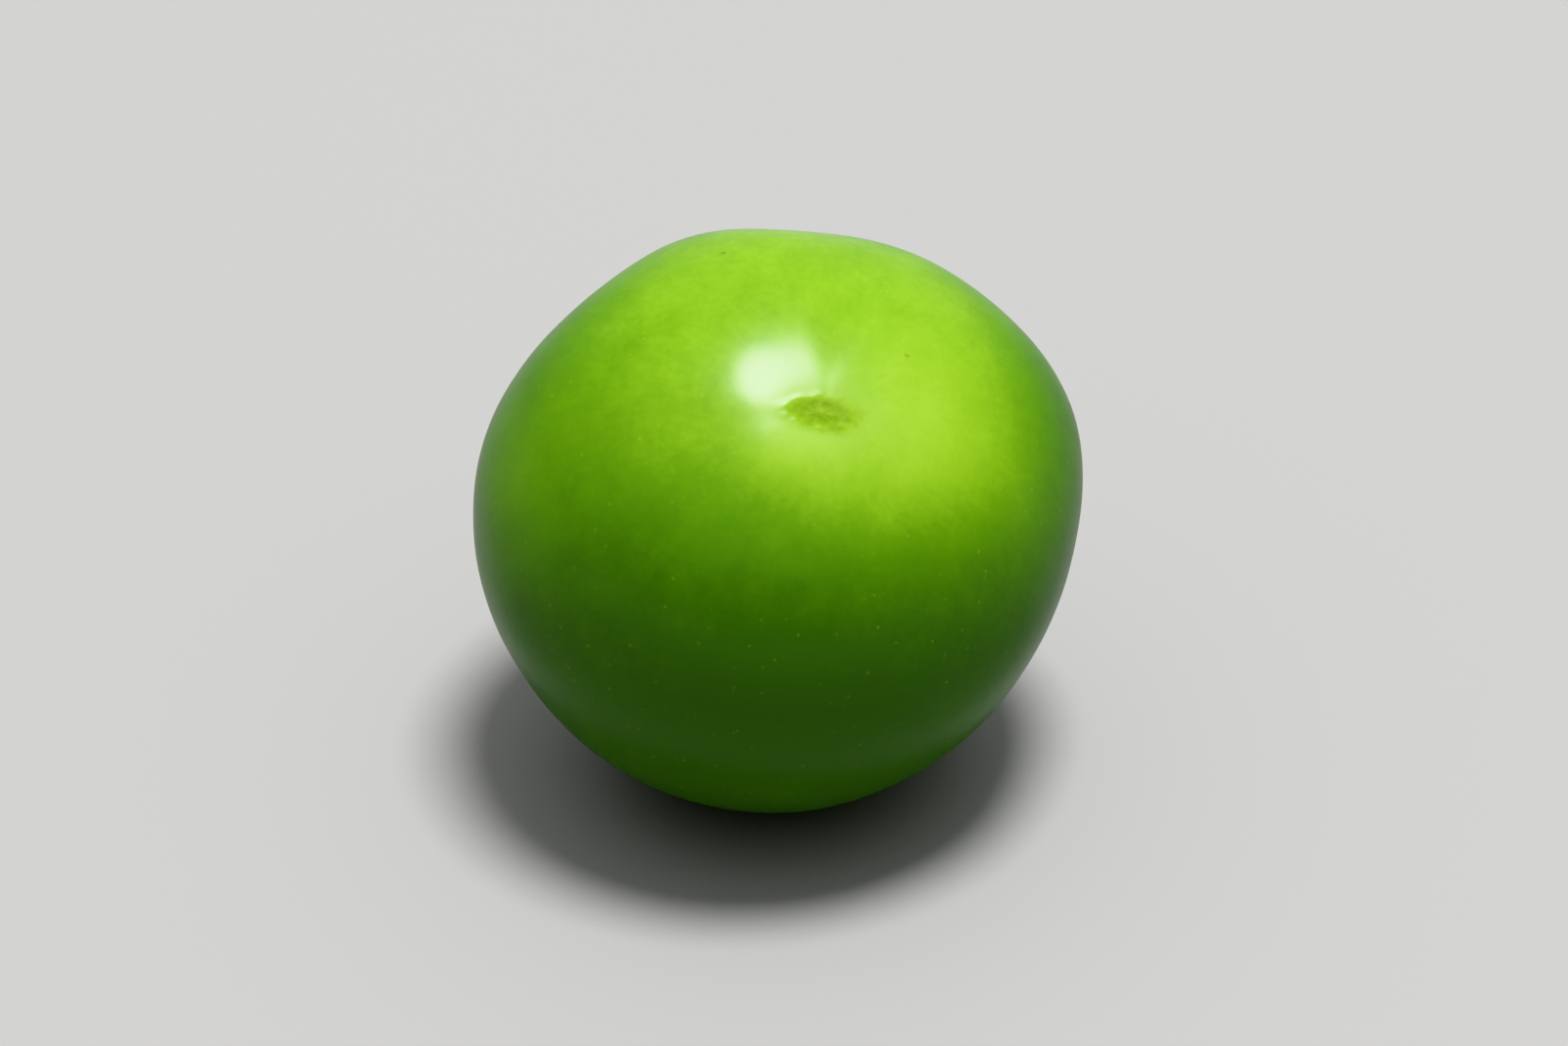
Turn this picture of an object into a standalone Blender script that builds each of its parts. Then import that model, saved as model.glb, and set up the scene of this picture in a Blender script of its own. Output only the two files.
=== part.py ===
"""One husked tomatillo at rest on a small flat spot: a single solid, in metres, +Z up.

The fruit is shaped in its own frame first, with +Z out of the stalk end. Each point starts as a
direction from the middle of the fruit, and a few formulas carry it out to the skin: a squat round
body, broad swells, faint furrows that run down from the stalk end, the basin with the scar that the
husk's stalk left, and the small point at the blossom end. The fruit is then leaned over into the
pose it rests in, and its underside is settled flat.
"""

import math

import bmesh
import bpy
import numpy as np
from mathutils import Matrix, Vector

MM = 0.001

# The body: its radius at the equator, and shares of that radius
EQUATOR_RADIUS = 24.5 * MM
SQUATNESS = 0.085
SHOULDER_FULLNESS = 0.10
STALK_END_BREADTH = 0.02

# Broad swells and flats: degrees from the stalk end, degrees round it, width in degrees, height
SWELLS = (
    (73, 27, 24, 1.50 * MM),
    (65, 96, 16, -0.85 * MM),
    (80, 140, 20, -0.95 * MM),
    (96, 186, 34, 0.35 * MM),
    (62, 262, 28, 0.30 * MM),
    (109, 326, 34, -0.40 * MM),
    (110, 68, 30, 0.40 * MM),
    (162, 287, 26, 0.50 * MM),
)

# Furrows from the stalk end: degrees round it, depth, width in degrees
FURROWS = (
    (82, 0.30 * MM, 13),
    (197, 0.26 * MM, 15),
    (312, 0.24 * MM, 16),
)
FURROW_DEEPEST = 42.0

# The basin round the stalk scar: a shallow oval dip, a little off the scar
BASIN_PLACE = (0.7 * MM, -0.9 * MM)
BASIN_LENGTH = 9.0 * MM
BASIN_WIDTH = 7.0 * MM
BASIN_TURN = math.radians(-20)
BASIN_DEPTH = 0.24 * MM

# The stalk scar: an oval pit with a corky collar and a stub in the middle, in shares of its reach
SCAR_LENGTH = 4.5 * MM
SCAR_WIDTH = 2.3 * MM
SCAR_TURN = math.radians(4)
PIT_DEPTH = 0.20 * MM
PIT_REACH = 0.87
COLLAR_HEIGHT = 0.03 * MM
COLLAR_PLACE = 1.1
COLLAR_WIDTH = 0.32
STUB_HEIGHT = 0.13 * MM
STUB_WIDTH = 0.30

# The blossom end: a slight dimple with a blunt point
DIMPLE_DEPTH = 0.50 * MM
DIMPLE_RADIUS = 3.4 * MM
POINT_HEIGHT = 0.34 * MM
POINT_RADIUS = 0.75 * MM

# The resting pose, and how far the underside is pressed in
LEAN_TO_FRONT = math.radians(32.1)
LEAN_TO_RIGHT = math.radians(11.2)
PRESSED_IN = 0.86 * MM
EDGE_ROUNDING = 0.28 * MM

# The mesh: segments round the fruit and rings down it, closer together by this share at both ends
SEGMENTS = 64
RINGS = 68
RING_CROWDING = 0.72

SKIN_COLOUR = (0.16, 0.38, 0.022, 1.0)
SKIN_ROUGHNESS = 0.25


def clear_scene():
    for obj in list(bpy.data.objects):
        bpy.data.objects.remove(obj, do_unlink=True)


def skin_material():
    """Bright green, smooth and a little waxy."""
    material = bpy.data.materials.new("tomatillo_skin")
    material.use_nodes = True
    shader = material.node_tree.nodes["Principled BSDF"]
    shader.inputs["Base Color"].default_value = SKIN_COLOUR
    shader.inputs["Roughness"].default_value = SKIN_ROUGHNESS
    shader.inputs["Metallic"].default_value = 0.0
    return material


def half_outline():
    """Points of a half circle of radius 1, pole to pole, set closer together towards both poles."""
    points = []
    for ring in range(RINGS + 1):
        share = ring / RINGS
        polar = math.pi * share - 0.5 * RING_CROWDING * math.sin(2 * math.pi * share)
        points.append(Vector((math.sin(polar), 0.0, math.cos(polar))))
    return points


def turned_ball():
    """The half outline turned once round Z: a closed ball of radius 1."""
    ball = bmesh.new()
    outline = [ball.verts.new(point) for point in half_outline()]
    edges = [ball.edges.new(pair) for pair in zip(outline, outline[1:])]
    bmesh.ops.spin(
        ball,
        geom=outline + edges,
        cent=(0, 0, 0),
        axis=(0, 0, 1),
        angle=2 * math.pi,
        steps=SEGMENTS,
        use_merge=True,
        use_duplicate=False,
    )
    bmesh.ops.remove_doubles(ball, verts=ball.verts, dist=1e-6)
    bmesh.ops.recalc_face_normals(ball, faces=ball.faces)
    return ball


def bell(distance):
    """A smooth bump of height 1 that has all but gone two widths away."""
    return np.exp(-(distance**2))


def turn_between(a, b):
    """The smaller angle between two directions round the axis."""
    return np.abs((a - b + math.pi) % (2 * math.pi) - math.pi)


def body_radius(polar):
    """The turned body: squat, with full shoulders, and a little broader towards the stalk end."""
    up = np.cos(polar)
    out = np.sin(polar)
    squat = SQUATNESS * up**2
    full = SHOULDER_FULLNESS * (up * out) ** 2
    broad = STALK_END_BREADTH * up * out**2
    return EQUATOR_RADIUS * (1 - squat + full + broad)


def swell_height(directions):
    """Each swell is a bell over the angle between a point's direction and the swell's own."""
    height = np.zeros(len(directions))
    for polar, azimuth, width, amount in SWELLS:
        polar, azimuth, width = np.radians((polar, azimuth, width))
        middle = (
            math.sin(polar) * math.cos(azimuth),
            math.sin(polar) * math.sin(azimuth),
            math.cos(polar),
        )
        away = np.arccos(np.clip(directions @ np.array(middle), -1, 1))
        height += amount * bell(away / width)
    return height


def furrow_depth(polar, azimuth):
    """Each furrow is a bell across its own line, deepest part of the way down and gone at the pole."""
    along = polar / math.radians(FURROW_DEEPEST)
    fade = along**3 * np.exp(1.5 - 1.5 * along**2)
    depth = np.zeros(len(polar))
    for middle, amount, width in FURROWS:
        across = turn_between(azimuth, math.radians(middle)) / math.radians(width)
        depth += amount * bell(across) * fade
    return depth


def oval_reach(x, y, length, width, turn):
    """How far a point is from the middle of a turned oval: 1 is on its outline."""
    along = x * math.cos(turn) + y * math.sin(turn)
    across = y * math.cos(turn) - x * math.sin(turn)
    return np.hypot(2 * along / length, 2 * across / width)


def stalk_end_lift(x, y):
    """Height along the axis round the stalk end: basin, pit with a level floor, collar and stub."""
    middle_x, middle_y = BASIN_PLACE
    basin = oval_reach(x - middle_x, y - middle_y, BASIN_LENGTH, BASIN_WIDTH, BASIN_TURN)
    lift = -BASIN_DEPTH * bell(basin)
    scar = oval_reach(x, y, SCAR_LENGTH, SCAR_WIDTH, SCAR_TURN)
    lift -= PIT_DEPTH * bell((scar / PIT_REACH) ** 2)
    lift += COLLAR_HEIGHT * bell((scar - COLLAR_PLACE) / COLLAR_WIDTH)
    lift += STUB_HEIGHT * bell(scar / STUB_WIDTH)
    return lift


def blossom_end_lift(x, y):
    """Height along the axis round the blossom end: it is drawn in, but for a blunt point."""
    reach = np.hypot(x, y)
    return DIMPLE_DEPTH * bell(reach / DIMPLE_RADIUS) - POINT_HEIGHT * bell(reach / POINT_RADIUS)


def skin_points(directions):
    """Carries directions out to the skin of the fruit, in its own frame."""
    polar = np.arccos(np.clip(directions[:, 2], -1, 1))
    azimuth = np.arctan2(directions[:, 1], directions[:, 0])
    radius = body_radius(polar) + swell_height(directions) - furrow_depth(polar, azimuth)
    points = directions * radius[:, None]
    x, y = points[:, 0], points[:, 1]
    lift = np.where(points[:, 2] > 0, stalk_end_lift(x, y), blossom_end_lift(x, y))
    points[:, 2] += lift
    return points


def leaned_over(points):
    """Leans the fruit to the front about X, then a little to the right about Y."""
    turn = Matrix.Rotation(LEAN_TO_RIGHT, 3, "Y") @ Matrix.Rotation(LEAN_TO_FRONT, 3, "X")
    return points @ np.array(turn).T


def settled(points):
    """Presses the underside flat at height 0, with a rounded edge, and centres the fruit on its box."""
    height = points[:, 2] - points[:, 2].min() - PRESSED_IN
    rounded = (height + EDGE_ROUNDING) ** 2 / (4 * EDGE_ROUNDING)
    zones = [height < -EDGE_ROUNDING, height < EDGE_ROUNDING]
    height = np.select(zones, [np.zeros_like(height), rounded], height)
    middle = (points[:, :2].max(0) + points[:, :2].min(0)) / 2
    return np.column_stack([points[:, :2] - middle, height])


def tomatillo():
    ball = turned_ball()
    directions = np.array([vert.co.normalized() for vert in ball.verts])
    for vert, place in zip(ball.verts, settled(leaned_over(skin_points(directions)))):
        vert.co = place
    mesh = bpy.data.meshes.new("tomatillo")
    ball.to_mesh(mesh)
    ball.free()
    mesh.shade_smooth()
    mesh.materials.append(skin_material())
    fruit = bpy.data.objects.new("tomatillo", mesh)
    bpy.context.scene.collection.objects.link(fruit)
    return fruit


clear_scene()
tomatillo()
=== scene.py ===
import math

import bpy
import numpy as np
from mathutils import Matrix, Vector


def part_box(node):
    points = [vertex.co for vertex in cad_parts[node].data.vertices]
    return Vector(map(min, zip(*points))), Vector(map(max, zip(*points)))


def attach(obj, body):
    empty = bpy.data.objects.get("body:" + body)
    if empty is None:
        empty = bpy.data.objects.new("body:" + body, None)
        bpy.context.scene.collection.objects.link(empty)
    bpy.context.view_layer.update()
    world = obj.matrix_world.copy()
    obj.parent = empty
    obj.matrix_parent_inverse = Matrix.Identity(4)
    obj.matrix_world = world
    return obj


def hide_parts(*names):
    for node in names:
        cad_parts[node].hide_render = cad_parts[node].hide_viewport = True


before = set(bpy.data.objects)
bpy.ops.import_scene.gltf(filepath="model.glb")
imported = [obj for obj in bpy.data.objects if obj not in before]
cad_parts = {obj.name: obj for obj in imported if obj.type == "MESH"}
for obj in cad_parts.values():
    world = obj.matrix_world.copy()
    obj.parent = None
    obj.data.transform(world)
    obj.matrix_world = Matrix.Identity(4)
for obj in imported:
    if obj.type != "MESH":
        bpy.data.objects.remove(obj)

MM = 0.001

# The body, as in the part's source: radius at the equator, and shares of that radius
EQUATOR_RADIUS = 24.5 * MM
SQUATNESS = 0.085
SHOULDER_FULLNESS = 0.10
STALK_END_BREADTH = 0.02

# Broad swells and flats: degrees from the stalk end, degrees round it, width in degrees, height
SWELLS = (
    (73, 27, 24, 1.50 * MM),
    (65, 96, 16, -0.85 * MM),
    (80, 140, 20, -0.95 * MM),
    (96, 186, 34, 0.35 * MM),
    (62, 262, 28, 0.30 * MM),
    (109, 326, 34, -0.40 * MM),
    (110, 68, 30, 0.40 * MM),
    (162, 287, 26, 0.50 * MM),
)

# Furrows from the stalk end: degrees round it, depth, width in degrees
FURROWS = (
    (82, 0.30 * MM, 13),
    (197, 0.26 * MM, 15),
    (312, 0.24 * MM, 16),
)
FURROW_DEEPEST = 42.0

# The basin round the stalk scar: a shallow oval dip, a little off the scar
BASIN_PLACE = (0.7 * MM, -0.9 * MM)
BASIN_LENGTH = 9.0 * MM
BASIN_WIDTH = 7.0 * MM
BASIN_TURN = math.radians(-20)
BASIN_DEPTH = 0.24 * MM

# The stalk scar: an oval pit with a corky collar and a stub in the middle, in shares of its reach
SCAR_LENGTH = 4.5 * MM
SCAR_WIDTH = 2.3 * MM
SCAR_TURN = math.radians(4)
PIT_DEPTH = 0.20 * MM
PIT_REACH = 0.87
COLLAR_HEIGHT = 0.03 * MM
COLLAR_PLACE = 1.1
COLLAR_WIDTH = 0.32
STUB_HEIGHT = 0.13 * MM
STUB_WIDTH = 0.30

# The blossom end: a slight dimple with a blunt point
DIMPLE_DEPTH = 0.50 * MM
DIMPLE_RADIUS = 3.4 * MM
POINT_HEIGHT = 0.34 * MM
POINT_RADIUS = 0.75 * MM

# The resting pose, and how far the underside is pressed in
LEAN_TO_FRONT = math.radians(32.1)
LEAN_TO_RIGHT = math.radians(11.2)
PRESSED_IN = 0.86 * MM
EDGE_ROUNDING = 0.28 * MM

# Relief finer than the part's solid holds
UNEVENNESS = 0.045 * MM
UNEVENNESS_LENGTH = 17 * MM
RIPPLE = 0.012 * MM
RIPPLE_LENGTH = 6.5 * MM
CORK_RELIEF = 0.035 * MM
CORK_LENGTH = 0.85 * MM
CORK_RAYS = 11

# The cork's relief: shares of its waves and rays, how far and how often the rays bend, and, in
# shares of the scar's reach, how far out it goes and where it sets in
CORK_WAVES_SHARE = 0.6
CORK_RAYS_SHARE = 0.5
RAY_BEND = 2.2
RAY_BENDS = 3
CORK_REACH = 0.85
CORK_ONSET = 0.25

# The waved outline of the scar: how far it waves, and each wave's count round it, start and share
SCAR_WAVE = 0.05
SCAR_WAVES = ((3, 0.9, 0.60), (5, 2.3, 0.50), (8, 4.0, 0.35))

# Plane waves: how many are summed, and their lengths as shares of the one asked for
WAVES = 30
WAVE_LENGTHS = (0.7, 1.5)

# The fine mesh: meridians round the fruit and rings down it, crowded towards both poles
MERIDIANS = 320
RINGS = 278
RING_CROWDING = 0.80

# Ripeness and painted light: its base, and the cap's middle in degrees from the stalk end and round
# it, what the cap adds, and in radians how far out it is half gone and how soft its edge is. The
# cap is partly paler skin round the stalk end and partly painted light on the top; the deep green
# left below it is partly painted shade.
TONE_BASE = 0.05
PALE_AND_LIT_CAP = (22, 101)
CAP_PALENESS_AND_LIGHT = 0.70
CAP_REACH = 0.89
CAP_EDGE = 0.15

# Patches that shift the tone, some paler skin and most painted light or shade: degrees from the
# stalk end, degrees round it, width in radians, amount
TONE_AND_PAINTED_LIGHT_PATCHES = (
    # partly a yellower shoulder, partly painted light right of the scar
    (24, 355, 0.42, 0.34),
    (178, 0, 0.50, 0.26),
    # painted light on the left cheek
    (73, 191, 0.40, 0.38),
    # painted light on the right flank
    (54, 356, 0.25, 0.15),
    # painted sheen below the scar
    (10, 240, 0.16, 0.25),
    # painted shade on the lower front cheek
    (54, 278, 0.38, -0.16),
)

# Cork and dull skin: where each is half gone, in shares of the scar's or the point's reach, and
# how steeply, how strong both are on the point, how far they lean to +X, and how the cork frays
SCAR_CORK = (1.15, 8)
POINT_CORK = (0.9, 8)
SCAR_DULL = (1.30, 9)
POINT_DULL = (1.2, 6)
POINT_SHARE = 0.8
CORK_LEAN = 0.32
CORK_FRAY = 0.10
CORK_FRAY_LENGTH = 0.7 * MM

# How pale the cork is: its base, the painted light that the back wall of the pit adds, the least
# share of that in front, which paints shade on the front wall, what the stub adds and how far out,
# and the mottling
CORK_PALENESS = 0.30
BACK_WALL_PAINTED_LIGHT = 0.55
FRONT_WALL_PAINTED_SHADE_LIMIT = -0.3
STUB_PALENESS = 0.15
STUB_PALE_WIDTH = 0.32
CORK_MOTTLING = 0.10
CORK_MOTTLING_LENGTH = 0.6 * MM

# Streaks: how far from each pole they take to set in, in radians, their least share between the
# two, the angle from the stalk end where they are strongest, and how far that spreads
STREAK_FADE_AT_STALK = 0.25
STREAK_FADE_AT_BLOSSOM = 0.3
STREAK_LEAST = 0.35
STREAK_STRONGEST_AT = 0.5
STREAK_SPREAD = 0.75

# Pale haloes round the scar and round the point: place and width in reach, and share
SCAR_HALO = (1.9, 0.75, 1.0)
POINT_HALO = (2.2, 1.6, 0.6)

# The reach given to all that lies on the fruit's other half
FAR_OFF = 9.0


def bell(distance):
    """A smooth bump: e to the power of minus the distance squared."""
    return np.exp(-(distance**2))


def turn_between(a, b):
    """The smaller angle between two directions round the axis."""
    return np.abs((a - b + math.pi) % (2 * math.pi) - math.pi)


def towards(polar, azimuth):
    """The unit vector at that angle from the stalk end and that angle round it, in degrees."""
    polar, azimuth = math.radians(polar), math.radians(azimuth)
    return np.array(
        [
            math.sin(polar) * math.cos(azimuth),
            math.sin(polar) * math.sin(azimuth),
            math.cos(polar),
        ]
    )


def angle_from(directions, polar, azimuth):
    """The angle between each direction and the given one: the arc cosine of their dot product."""
    return np.arccos(np.clip(directions @ towards(polar, azimuth), -1, 1))


def plane_waves(points, length, seed):
    """Soft unevenness about 0 with a spread of 1: the sum of sine waves of about one length, each
    in a direction and from a start drawn once, over the root of half their number."""
    draw = np.random.default_rng(seed)
    total = np.zeros(len(points))
    for _ in range(WAVES):
        way = draw.normal(size=3)
        way /= np.linalg.norm(way)
        pace = 2 * math.pi / (length * draw.uniform(*WAVE_LENGTHS))
        total += np.sin(points @ way * pace + draw.uniform(0, 2 * math.pi))
    return total / math.sqrt(WAVES / 2)


def body_radius(polar):
    """The radius times 1, less a share of cos squared, plus shares of (cos sin) squared and of
    cos times sin squared: squat, with full shoulders, and broader towards the stalk end."""
    up = np.cos(polar)
    out = np.sin(polar)
    squat = SQUATNESS * up**2
    full = SHOULDER_FULLNESS * (up * out) ** 2
    broad = STALK_END_BREADTH * up * out**2
    return EQUATOR_RADIUS * (1 - squat + full + broad)


def swell_height(directions):
    """The sum over the swells of a bell over the angle from the swell's middle."""
    height = np.zeros(len(directions))
    for polar, azimuth, width, amount in SWELLS:
        height += amount * bell(angle_from(directions, polar, azimuth) / math.radians(width))
    return height


def furrow_depth(polar, azimuth):
    """The sum over the furrows of a bell across each one, times its fade: the cubed share of the
    way to its deepest place, times e to the power of 1.5 less 1.5 times the squared share."""
    along = polar / math.radians(FURROW_DEEPEST)
    fade = along**3 * np.exp(1.5 - 1.5 * along**2)
    depth = np.zeros(len(polar))
    for middle, amount, width in FURROWS:
        across = turn_between(azimuth, math.radians(middle)) / math.radians(width)
        depth += amount * bell(across) * fade
    return depth


def oval_reach(x, y, length, width, turn):
    """How far a point is from the middle of a turned oval: 1 is on its outline."""
    along = x * math.cos(turn) + y * math.sin(turn)
    across = y * math.cos(turn) - x * math.sin(turn)
    return np.hypot(2 * along / length, 2 * across / width)


def scar_reach(x, y):
    """Reach from the middle of the scar, times 1 plus a few sine waves round its outline."""
    azimuth = np.arctan2(y, x)
    wave = sum(share * np.sin(count * azimuth + start) for count, start, share in SCAR_WAVES)
    return oval_reach(x, y, SCAR_LENGTH, SCAR_WIDTH, SCAR_TURN) * (1 + SCAR_WAVE * wave)


def basin_reach(x, y):
    """Reach from the middle of the basin, an oval a little off the scar."""
    middle_x, middle_y = BASIN_PLACE
    return oval_reach(x - middle_x, y - middle_y, BASIN_LENGTH, BASIN_WIDTH, BASIN_TURN)


def cork(x, y):
    """Torn, dry relief in the scar, about 0: fine plane waves and rays out of its middle, times a
    bell over the reach."""
    reach = scar_reach(x, y)
    flat = np.column_stack([x, y, np.zeros_like(x)])
    rays = np.sin(CORK_RAYS * np.arctan2(y, x) + RAY_BEND * np.sin(RAY_BENDS * reach))
    relief = CORK_WAVES_SHARE * plane_waves(flat, CORK_LENGTH, seed=5) + CORK_RAYS_SHARE * rays
    return relief * bell(reach / CORK_REACH)


def stalk_end_lift(x, y):
    """Height along the axis round the stalk end: less a bell over the reach from the basin and one
    over the squared reach from the scar, which drops steeply to a level floor, plus bells over
    the reach from the collar and the stub, plus the cork's relief."""
    basin = basin_reach(x, y)
    scar = scar_reach(x, y)
    lift = -BASIN_DEPTH * bell(basin)
    lift -= PIT_DEPTH * bell((scar / PIT_REACH) ** 2)
    lift += COLLAR_HEIGHT * bell((scar - COLLAR_PLACE) / COLLAR_WIDTH)
    lift += STUB_HEIGHT * bell(scar / STUB_WIDTH)
    return lift + CORK_RELIEF * cork(x, y) * np.clip(scar / CORK_ONSET, 0, 1)


def blossom_end_lift(x, y):
    """Height along the axis round the blossom end: it is drawn in, but for a blunt point."""
    reach = np.hypot(x, y)
    return DIMPLE_DEPTH * bell(reach / DIMPLE_RADIUS) - POINT_HEIGHT * bell(reach / POINT_RADIUS)


def skin_points(directions):
    """Carries directions out to the skin: the direction times the sum of body, swells, furrows and
    soft unevenness, then moved along the axis by the relief of the two ends."""
    polar = np.arccos(np.clip(directions[:, 2], -1, 1))
    azimuth = np.arctan2(directions[:, 1], directions[:, 0])
    radius = body_radius(polar) + swell_height(directions) - furrow_depth(polar, azimuth)
    at = directions * EQUATOR_RADIUS
    radius += UNEVENNESS * plane_waves(at, UNEVENNESS_LENGTH, seed=11)
    radius += RIPPLE * plane_waves(at, RIPPLE_LENGTH, seed=12)
    points = directions * radius[:, None]
    x, y = points[:, 0], points[:, 1]
    points[:, 2] += np.where(points[:, 2] > 0, stalk_end_lift(x, y), blossom_end_lift(x, y))
    return points


def leaned_over(points):
    """Leans the fruit to the front about X, then a little to the right about Y."""
    turn = Matrix.Rotation(LEAN_TO_RIGHT, 3, "Y") @ Matrix.Rotation(LEAN_TO_FRONT, 3, "X")
    return points @ np.array(turn).T


def settled(points):
    """Presses the underside flat at height 0: below the edge's rounding the height is 0, within it
    (height plus rounding) squared over four times the rounding. Then centres it on the solid."""
    height = points[:, 2] - points[:, 2].min() - PRESSED_IN
    rounded = (height + EDGE_ROUNDING) ** 2 / (4 * EDGE_ROUNDING)
    zones = [height < -EDGE_ROUNDING, height < EDGE_ROUNDING]
    height = np.select(zones, [np.zeros_like(height), rounded], height)
    low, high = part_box("tomatillo")
    middle = (points[:, :2].max(0) + points[:, :2].min(0)) / 2
    solid_middle = np.array([(low.x + high.x) / 2, (low.y + high.y) / 2])
    return np.column_stack([points[:, :2] - middle + solid_middle, height])


def ball_directions():
    """Unit vectors of a closed grid: the stalk pole, then ring after ring, then the blossom pole.
    A ring's angle from the pole is its share of a half turn, less a sine that crowds both ends."""
    share = np.arange(1, RINGS) / RINGS
    polar = math.pi * share - 0.5 * RING_CROWDING * np.sin(2 * math.pi * share)
    azimuth = 2 * math.pi * np.arange(MERIDIANS) / MERIDIANS
    polar, azimuth = (grid.ravel() for grid in np.meshgrid(polar, azimuth, indexing="ij"))
    rings = np.column_stack(
        [np.sin(polar) * np.cos(azimuth), np.sin(polar) * np.sin(azimuth), np.cos(polar)]
    )
    return np.vstack([[0, 0, 1], rings, [0, 0, -1]])


def ball_faces():
    """Triangles round each pole and quads between the rings, all facing out."""
    here = np.arange(MERIDIANS)
    after = (here + 1) % MERIDIANS
    last = 1 + (RINGS - 2) * MERIDIANS
    top = np.column_stack([np.zeros_like(here), 1 + here, 1 + after])
    bottom = np.column_stack([np.full_like(here, last + MERIDIANS), last + after, last + here])
    start = 1 + MERIDIANS * np.arange(RINGS - 2)[:, None]
    quads = np.stack(
        [start + here, start + MERIDIANS + here, start + MERIDIANS + after, start + after], axis=-1
    )
    return top.tolist() + quads.reshape(-1, 4).tolist() + bottom.tolist()


def store(mesh, name, kind, values):
    """Keeps one number or vector for each point of the mesh, for the finish to read."""
    field = "vector" if kind == "FLOAT_VECTOR" else "value"
    attribute = mesh.attributes.new(name, kind, "POINT")
    attribute.data.foreach_set(field, np.ascontiguousarray(values, np.float32).ravel())


class Value:
    """A shader socket whose number can be used in plain arithmetic."""

    def __init__(self, finish, socket):
        self.finish = finish
        self.socket = socket

    def maths(self, operation, first, second):
        settings = {"operation": operation}
        return self.finish.add("ShaderNodeMath", settings, {0: first, 1: second})

    def __add__(self, other):
        return self.maths("ADD", self, other)

    def __sub__(self, other):
        return self.maths("SUBTRACT", self, other)

    def __rsub__(self, other):
        return self.maths("SUBTRACT", other, self)

    def __mul__(self, other):
        return self.maths("MULTIPLY", self, other)

    __radd__ = __add__
    __rmul__ = __mul__


# Sockets of the Mix node, by number because its names repeat: share, both colours, and result
MIX_SHARE = 0
MIX_FIRST = 6
MIX_SECOND = 7
MIX_RESULT = 2


class Finish:
    """The nodes of a material or of the sky, added one at a time to feed its shader."""

    def __init__(self, owner, shader="Principled BSDF"):
        owner.use_nodes = True
        self.owner = owner
        self.tree = owner.node_tree
        self.inputs = self.tree.nodes[shader].inputs

    def feed(self, socket, value):
        if isinstance(value, Value):
            self.tree.links.new(value.socket, socket)
        else:
            socket.default_value = value

    def add(self, kind, settings, inputs, out=0):
        """Adds a node: its settings first, then the values or links of its sockets."""
        node = self.tree.nodes.new(kind)
        for name, setting in settings.items():
            setattr(node, name, setting)
        for name, value in inputs.items():
            self.feed(node.inputs[name], value)
        return Value(self, node.outputs[out])

    def kept(self, name, out="Fac"):
        """A number or vector that the mesh keeps for each point."""
        return self.add("ShaderNodeAttribute", {"attribute_name": name}, {}, out)

    def step(self, value, low, high):
        """0 below low, 1 above high, and an even curve between them."""
        inputs = {"Value": value, "From Min": low, "From Max": high}
        return self.add("ShaderNodeMapRange", {"interpolation_type": "SMOOTHSTEP"}, inputs)

    def noise(self, place, kind):
        """Cloudy noise about 0: what the noise node gives, less a half."""
        scale, detail, roughness = kind
        inputs = {"Vector": place, "Scale": scale, "Detail": detail, "Roughness": roughness}
        return self.add("ShaderNodeTexNoise", {}, inputs, "Fac") - 0.5

    def mix(self, share, first, second):
        """A colour that is the first at share 0 and the second at share 1."""
        settings = {"data_type": "RGBA", "clamp_factor": True}
        inputs = {MIX_SHARE: share, MIX_FIRST: first, MIX_SECOND: second}
        return self.add("ShaderNodeMix", settings, inputs, MIX_RESULT)

    def scaled(self, vector, factor):
        """A vector times a vector, part by part."""
        settings = {"operation": "MULTIPLY"}
        return self.add("ShaderNodeVectorMath", settings, {0: vector, 1: factor})

    def cells(self, place, scale):
        """The distance to the nearest of a cloud of scattered points."""
        inputs = {"Vector": place, "Scale": scale, "Randomness": 1.0}
        return self.add("ShaderNodeTexVoronoi", {"feature": "F1"}, inputs, "Distance")


DEEP_GREEN = (0.030, 0.112, 0.004, 1)
LEAF_GREEN = (0.075, 0.218, 0.005, 1)
MEADOW_GREEN = (0.140, 0.316, 0.011, 1)
FRESH_GREEN = (0.238, 0.430, 0.028, 1)
SUNNY_GREEN = (0.312, 0.506, 0.056, 1)
PALE_GREEN = (0.340, 0.480, 0.090, 1)
CORK_OLIVE = (0.165, 0.300, 0.020, 1)
CORK_TAN = (0.268, 0.415, 0.052, 1)
FLECK_BROWN = (0.110, 0.130, 0.025, 1)

# The greens after deep green: the tone where each sets in, the tone where it is full, the green
GREENS = (
    (0.0, 0.50, LEAF_GREEN),
    (0.35, 0.80, MEADOW_GREEN),
    (0.55, 1.0, FRESH_GREEN),
    (0.85, 1.25, SUNNY_GREEN),
)

# Noises: scale per millimetre, or per radius for the streaks, then detail and roughness
CLOUDS = (0.075, 2.0, 0.5)
MOTTLE = (0.32, 3.0, 0.55)
GRAIN = (1.6, 2.0, 0.5)
STREAKS = (9.0, 3.0, 0.6)
FINE_STREAKS = (34.0, 2.0, 0.6)
SMEAR = (0.11, 3.0, 0.6)
PEEL = (0.9, 2.0, 0.5)
CORK_GRAIN = (7.0, 3.0, 0.7)

# What the streaks' place is multiplied by, which draws them out along the axis
STREAK_STRETCH = (1.0, 1.0, 0.10)

# How far each noise shifts the tone
CLOUD_TONE = 0.22
MOTTLE_TONE = 0.12
GRAIN_TONE = 0.07
STREAK_TONE = 0.18
FINE_STREAK_TONE = 0.13

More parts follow.
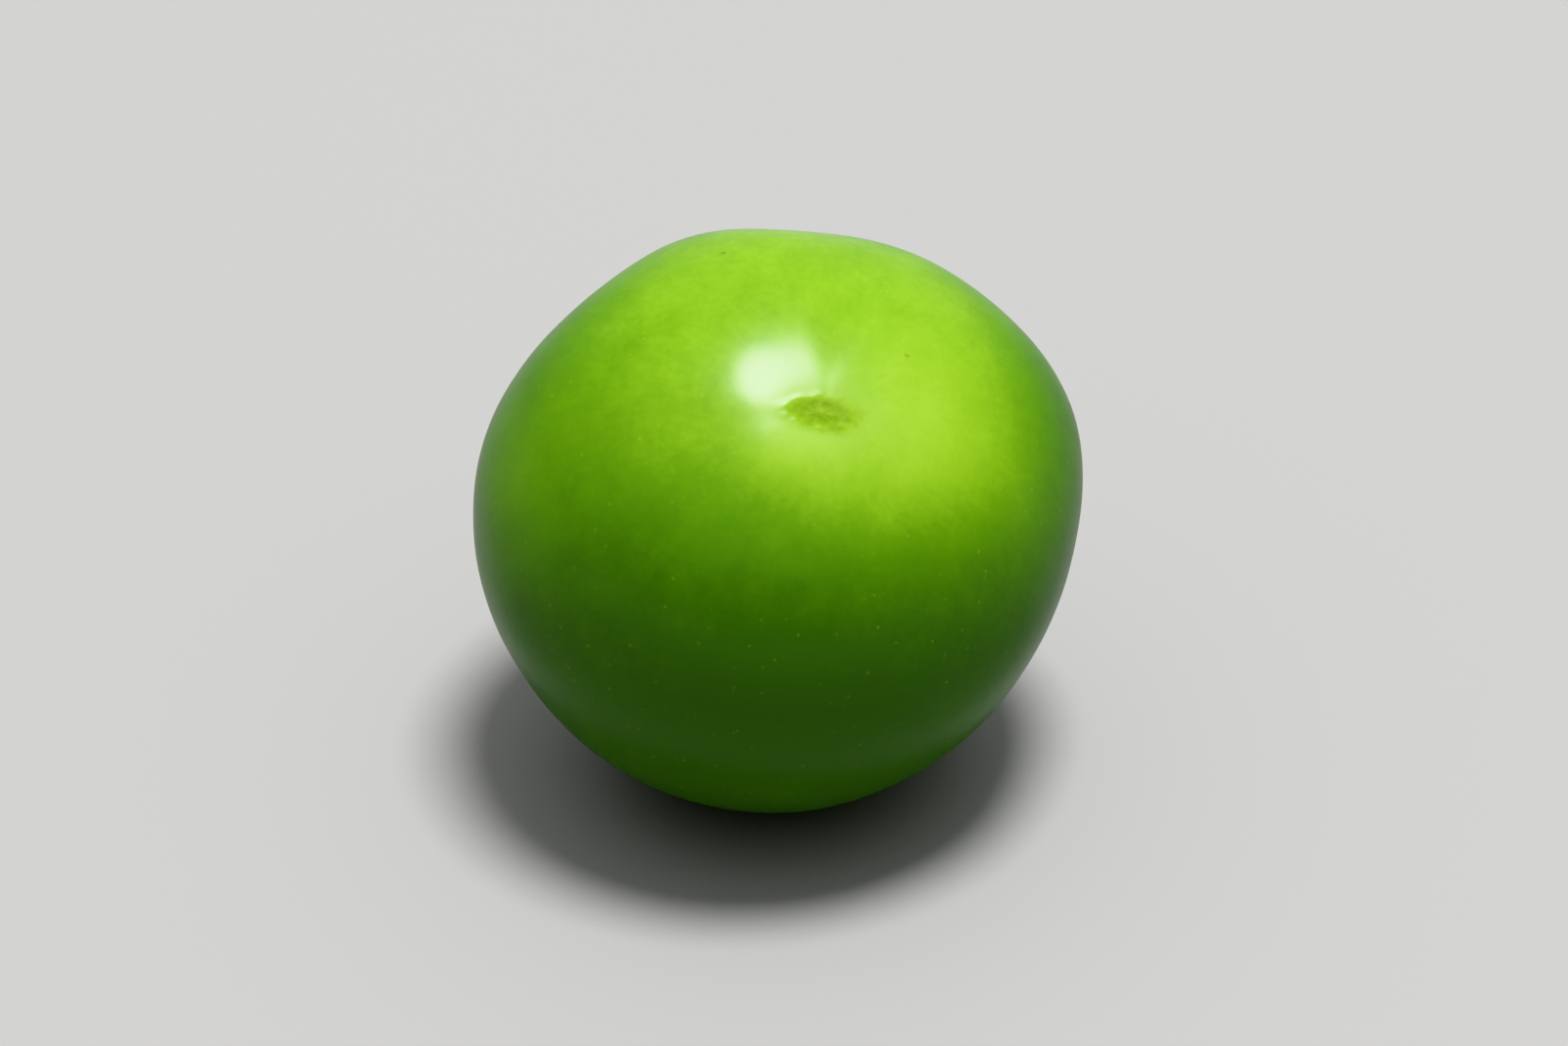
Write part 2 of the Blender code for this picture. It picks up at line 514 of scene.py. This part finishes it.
# Pores and flecks: cells to the millimetre, the edge of each in shares of a cell, the noise that
# lets them through, and how strongly they and the haloes tint the skin
PORE_CELLS = 0.85
PORE_EDGE = (0.05, 0.17)
PORE_GRAIN = (-0.08, 0.12)
PORE_PALENESS = 0.22
HALO_PALENESS = 0.12
FLECK_CELLS = 0.16
FLECK_EDGE = (0.025, 0.055)
FLECK_MOTTLE = (0.0, 0.10)
FLECK_DARKNESS = 0.55

# Roughness and wax: their base, and what changes them
SKIN_ROUGHNESS = 0.42
SMEAR_ROUGHNESS = 0.16
GRAIN_ROUGHNESS = 0.06
DULL_ROUGHNESS = 0.30
FLECK_ROUGHNESS = 0.25
WAX = 0.36
WORN_WAX = 0.05
WORN_SMEAR = (-0.25, 0.10)

# Fine relief by bump: its unit, and the share of each part
BUMP_HEIGHT = 0.010 * MM
PEEL_BUMP = 0.5
GRAIN_BUMP = 0.15
PORE_BUMP = 0.10
FLECK_BUMP = 0.8
CORK_BUMP = 6.0

# The shader's values that don't change over the skin
SAME_ALL_OVER = {
    "IOR": 1.12,
    "Coat Roughness": 0.20,
    "Coat IOR": 1.6,
    "Subsurface Weight": 0.20,
    "Subsurface Radius": (0.9, 1.0, 0.25),
    "Subsurface Scale": 0.0025,
}


def skin_finish():
    """Glossy waxy skin: clouded greens that carry painted light and shade, faint pale streaks down
    from the stalk end, pale pores, a few corky flecks, and dry cork in both scars."""
    finish = Finish(bpy.data.materials.new("tomatillo_skin"))
    place = finish.kept("grown_place", "Vector")
    cork_share = finish.kept("cork_share")
    dull = finish.kept("dullness")
    clouds = finish.noise(place, CLOUDS)
    mottle = finish.noise(place, MOTTLE)
    grain = finish.noise(place, GRAIN)

    # The tone field holds painted light on the top and flanks and painted shade on the lower half
    tone = finish.kept("tone_and_painted_light") + clouds * CLOUD_TONE + mottle * MOTTLE_TONE + grain * GRAIN_TONE
    streak_place = finish.scaled(finish.kept("grown_way", "Vector"), STREAK_STRETCH)
    streak = finish.noise(streak_place, STREAKS) * STREAK_TONE
    streak = streak + finish.noise(streak_place, FINE_STREAKS) * FINE_STREAK_TONE
    tone = tone + streak * finish.kept("streak_share")
    colour = DEEP_GREEN
    for start, full, green in GREENS:
        colour = finish.mix(finish.step(tone, start, full), colour, green)

    pores = 1 - finish.step(finish.cells(place, PORE_CELLS), *PORE_EDGE)
    pores = pores * finish.step(grain, *PORE_GRAIN)
    pale = pores * PORE_PALENESS + finish.kept("halo") * HALO_PALENESS
    colour = finish.mix(pale, colour, PALE_GREEN)
    flecks = 1 - finish.step(finish.cells(place, FLECK_CELLS), *FLECK_EDGE)
    flecks = flecks * finish.step(mottle, *FLECK_MOTTLE)
    colour = finish.mix(flecks * FLECK_DARKNESS, colour, FLECK_BROWN)
    # The cork's tone carries painted light on the pit's back wall and painted shade on its front
    # wall
    corky = finish.mix(finish.kept("cork_tone_and_painted_light"), CORK_OLIVE, CORK_TAN)
    finish.feed(finish.inputs["Base Color"], finish.mix(cork_share, colour, corky))

    smear = finish.noise(place, SMEAR)
    roughness = SKIN_ROUGHNESS + smear * SMEAR_ROUGHNESS + grain * GRAIN_ROUGHNESS
    roughness = roughness + dull * DULL_ROUGHNESS + flecks * FLECK_ROUGHNESS
    finish.feed(finish.inputs["Roughness"], roughness)
    worn = (1 - finish.step(smear, *WORN_SMEAR)) * WORN_WAX
    finish.feed(finish.inputs["Coat Weight"], (WAX - worn) * (1 - dull))
    for name, value in SAME_ALL_OVER.items():
        finish.inputs[name].default_value = value

    height = finish.noise(place, PEEL) * PEEL_BUMP + grain * GRAIN_BUMP
    height = height - pores * PORE_BUMP + flecks * FLECK_BUMP
    height = height + finish.noise(place, CORK_GRAIN) * cork_share * CORK_BUMP
    bump_inputs = {"Strength": 1.0, "Distance": BUMP_HEIGHT, "Height": height}
    finish.feed(finish.inputs["Normal"], finish.add("ShaderNodeBump", {}, bump_inputs))
    return finish.owner


def fade_out(value, edge, steepness):
    """1 well inside the edge and 0 well outside: 1 over 1 plus e to the power of the distance past
    the edge times the steepness."""
    return 1 / (1 + np.exp(steepness * (value - edge)))


def tone_and_painted_light(directions):
    """How yellow and pale the green is, with painted light and shade in it: a base, a cap that
    fades out past an angle from its middle, paler on top partly as painted light and leaving the
    lower half deep green partly as painted shade, and the sum over the patches of a bell over the
    angle from each one's middle."""
    from_cap = angle_from(directions, *PALE_AND_LIT_CAP)
    tone_and_light = TONE_BASE + CAP_PALENESS_AND_LIGHT * fade_out(from_cap, CAP_REACH, 1 / CAP_EDGE)
    for polar, azimuth, width, amount in TONE_AND_PAINTED_LIGHT_PATCHES:
        tone_and_light += amount * bell(angle_from(directions, polar, azimuth) / width)
    return tone_and_light


def streak_share(directions):
    """How strong the streaks are: the least share, plus the rest times a bell over the angle from
    where they are strongest, all times the clipped share of the way in from each pole."""
    polar = np.arccos(np.clip(directions[:, 2], -1, 1))
    share = STREAK_LEAST + (1 - STREAK_LEAST) * bell((polar - STREAK_STRONGEST_AT) / STREAK_SPREAD)
    share *= np.clip(polar / STREAK_FADE_AT_STALK, 0, 1)
    return share * np.clip((math.pi - polar) / STREAK_FADE_AT_BLOSSOM, 0, 1)


def skin_fields(grown):
    """Four fields, clipped to between 0 and 1. Cork and dull skin are the sum of a fade past the
    scar's edge and a share of one past the point's, over a reach that leans to +X in the scar.
    The cork's paleness is a base, plus painted light on the back wall of the pit and painted shade
    on its front wall, as the clipped share of the way to the back wall, plus a bell over the reach
    and soft waves. The halo is the sum of a bell over the reach from each one's place."""
    x, y = grown[:, 0], grown[:, 1]
    stalk_half = grown[:, 2] > 0
    scar = np.where(stalk_half, scar_reach(x, y), FAR_OFF)
    tip = np.where(stalk_half, FAR_OFF, np.hypot(x, y) / POINT_RADIUS)
    leaning = scar - CORK_LEAN * x / SCAR_LENGTH
    fray = CORK_FRAY * plane_waves(grown, CORK_FRAY_LENGTH, seed=21)
    share = fade_out(leaning + fray, *SCAR_CORK) + POINT_SHARE * fade_out(tip + fray, *POINT_CORK)
    dull = fade_out(leaning, *SCAR_DULL) + POINT_SHARE * fade_out(tip, *POINT_DULL)
    # Painted light on the pit's back wall and painted shade on its front wall, against its own
    # shading
    pale = CORK_PALENESS + BACK_WALL_PAINTED_LIGHT * np.clip(2 * y / SCAR_WIDTH, FRONT_WALL_PAINTED_SHADE_LIMIT, 1)
    pale += STUB_PALENESS * bell(scar / STUB_PALE_WIDTH)
    pale += CORK_MOTTLING * plane_waves(grown, CORK_MOTTLING_LENGTH, seed=22)
    halo = np.zeros(len(grown))
    for reach, (place, width, amount) in ((scar, SCAR_HALO), (tip, POINT_HALO)):
        halo += amount * bell((reach - place) / width)
    fields = {"cork_share": share, "cork_tone_and_painted_light": pale, "dullness": dull, "halo": halo}
    return {name: np.clip(values, 0, 1) for name, values in fields.items()}


def fruit():
    """The skin of the whole fruit as one closed grid, with the fields that its finish reads."""
    directions = ball_directions()
    grown = skin_points(directions)
    mesh = bpy.data.meshes.new("tomatillo_skin")
    mesh.from_pydata(settled(leaned_over(grown)).tolist(), [], ball_faces())
    mesh.shade_smooth()
    store(mesh, "grown_place", "FLOAT_VECTOR", grown / MM)
    store(mesh, "grown_way", "FLOAT_VECTOR", directions)
    # Painted light and shade, together with the skin's paler and greener patches
    store(mesh, "tone_and_painted_light", "FLOAT", tone_and_painted_light(directions))
    store(mesh, "streak_share", "FLOAT", streak_share(directions))
    for name, values in skin_fields(grown).items():
        store(mesh, name, "FLOAT", values)

    skin = bpy.data.objects.new("tomatillo_skin", mesh)
    bpy.context.scene.collection.objects.link(skin)
    mesh.materials.append(skin_finish())
    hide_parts("tomatillo")
    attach(skin, "root")


# Half the floor's side in metres, and its paint
FLOOR_HALF = 6.0
FLOOR_COLOUR = (0.34, 0.337, 0.330, 1)
FLOOR_ROUGHNESS = 0.65


def floor():
    """A large plain pale floor at height 0, on which the fruit rests."""
    corners = [(-1, -1), (1, -1), (1, 1), (-1, 1)]
    mesh = bpy.data.meshes.new("floor")
    places = [(x * FLOOR_HALF, y * FLOOR_HALF, 0.0) for x, y in corners]
    mesh.from_pydata(places, [], [(0, 1, 2, 3)])
    finish = Finish(bpy.data.materials.new("floor_paint"))
    finish.inputs["Base Color"].default_value = FLOOR_COLOUR
    finish.inputs["Roughness"].default_value = FLOOR_ROUGHNESS
    mesh.materials.append(finish.owner)
    ground = bpy.data.objects.new("floor", mesh)
    bpy.context.scene.collection.objects.link(ground)


# The lamp, in metres and watts, and the colours of the sky's light
LAMP_PLACE = (0.72, 0.06, 6.0)
LAMP_SIZE = 1.95
LAMP_WATTS = 505.0
HORIZON_LIGHT = (0.49, 0.49, 0.488, 1)
FRONT_LIGHT = (0.14, 0.141, 0.143, 1)
SIDE_LIGHT = (0.38, 0.383, 0.386, 1)
BACK_LIGHT = (0.65, 0.655, 0.66, 1)
ZENITH_LIGHT = (0.75, 0.755, 0.76, 1)

# Where the sky goes from one light to the next: across squared, ahead and rise of the direction
SIDE_BAND = (0.25, 0.95)
BACK_BAND = (0.2, 0.8)
HORIZON_BAND = (-0.02, 0.16)
ZENITH_BAND = (0.10, 0.95)


def lights():
    """One soft round lamp above, and a sky that is pale at the horizon and overhead, and between
    them dimmest in front, paler to both sides and palest behind."""
    lamp = bpy.data.lights.new("overhead", "AREA")
    lamp.shape = "DISK"
    lamp.size = LAMP_SIZE
    lamp.energy = LAMP_WATTS
    holder = bpy.data.objects.new("overhead", lamp)
    holder.location = LAMP_PLACE
    bpy.context.scene.collection.objects.link(holder)
    sky = Finish(bpy.data.worlds.new("sky"), "Background")
    way = sky.add("ShaderNodeTexCoord", {}, {}, "Generated")
    across, ahead, rise = (sky.add("ShaderNodeSeparateXYZ", {}, {0: way}, part) for part in "XYZ")
    low = sky.mix(sky.step(across * across, *SIDE_BAND), FRONT_LIGHT, SIDE_LIGHT)
    low = sky.mix(sky.step(ahead, *BACK_BAND), low, BACK_LIGHT)
    glow = sky.mix(sky.step(rise, *HORIZON_BAND), HORIZON_LIGHT, low)
    glow = sky.mix(sky.step(rise, *ZENITH_BAND), glow, ZENITH_LIGHT)
    sky.feed(sky.inputs["Color"], glow)
    bpy.context.scene.world = sky.owner


# The camera: lens and sensor in millimetres, all other lengths in metres
CAMERA_ELEVATION = math.radians(34.8)
CAMERA_DISTANCE = 0.64
CAMERA_LENS = 178.0
CAMERA_SENSOR = 36.0
CAMERA_NEAREST = 0.05
CAMERA_FARTHEST = 30.0
CAMERA_TARGET = Vector((0.0005, 0.0, 0.0225))


def camera():
    """Looks along +Y and down, as the photograph does."""
    lens = bpy.data.cameras.new("camera")
    lens.lens = CAMERA_LENS
    lens.sensor_width = CAMERA_SENSOR
    lens.clip_start = CAMERA_NEAREST
    lens.clip_end = CAMERA_FARTHEST
    view = bpy.data.objects.new("camera", lens)
    back = Vector((0, -math.cos(CAMERA_ELEVATION), math.sin(CAMERA_ELEVATION)))
    view.location = CAMERA_TARGET + back * CAMERA_DISTANCE
    view.rotation_euler = (-back).to_track_quat("-Z", "Y").to_euler()
    bpy.context.scene.collection.objects.link(view)
    bpy.context.scene.camera = view


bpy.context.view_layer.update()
fruit()
floor()
lights()
camera()
bpy.context.scene.view_settings.view_transform = "Khronos PBR Neutral"
bpy.context.view_layer.update()
